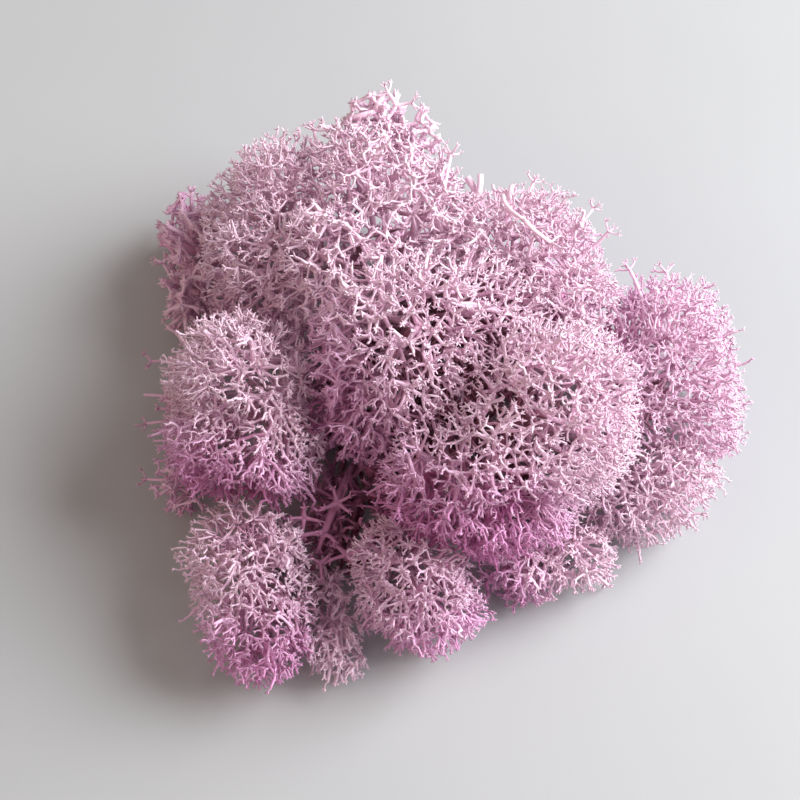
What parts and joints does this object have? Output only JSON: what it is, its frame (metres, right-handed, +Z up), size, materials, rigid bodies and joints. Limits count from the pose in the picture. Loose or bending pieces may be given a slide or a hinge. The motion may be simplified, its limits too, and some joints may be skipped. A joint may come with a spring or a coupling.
{
  "type": "preserved reindeer moss clump",
  "caption": "Picked clump of preserved, dyed reindeer lichen: branching tufts packed together, lying on a surface.",
  "frame": {"origin": "middle of the clump's outline, on the surface that it rests on", "axes": "+Z up, +X to the right and +Y away for a viewer who faces the largest dome"},
  "size_m": [0.0954, 0.0936, 0.0461],
  "materials": {
    "pale_lilac": "matte",
    "rose_lilac": "matte",
    "magenta": "matte",
    "grey_stem": "matte"
  },
  "bodies": {
    "root": {"crown_left": "pale_lilac", "crown_top": "pale_lilac", "crown_right": "pale_lilac", "centre_crown": "pale_lilac", "front_dome": "rose_lilac", "left_head": "magenta", "right_head": "rose_lilac", "right_lower_head": "pale_lilac", "left_lower_head": "rose_lilac", "middle_lower_head": "magenta", "bottom_sprig": "grey_stem", "right_lower_sprig": "rose_lilac", "back_left_sprig": "magenta", "left_skirt_sprig": "magenta", "top_sprig": "pale_lilac", "stem_core": "grey_stem"}
  },
  "joints": []
}
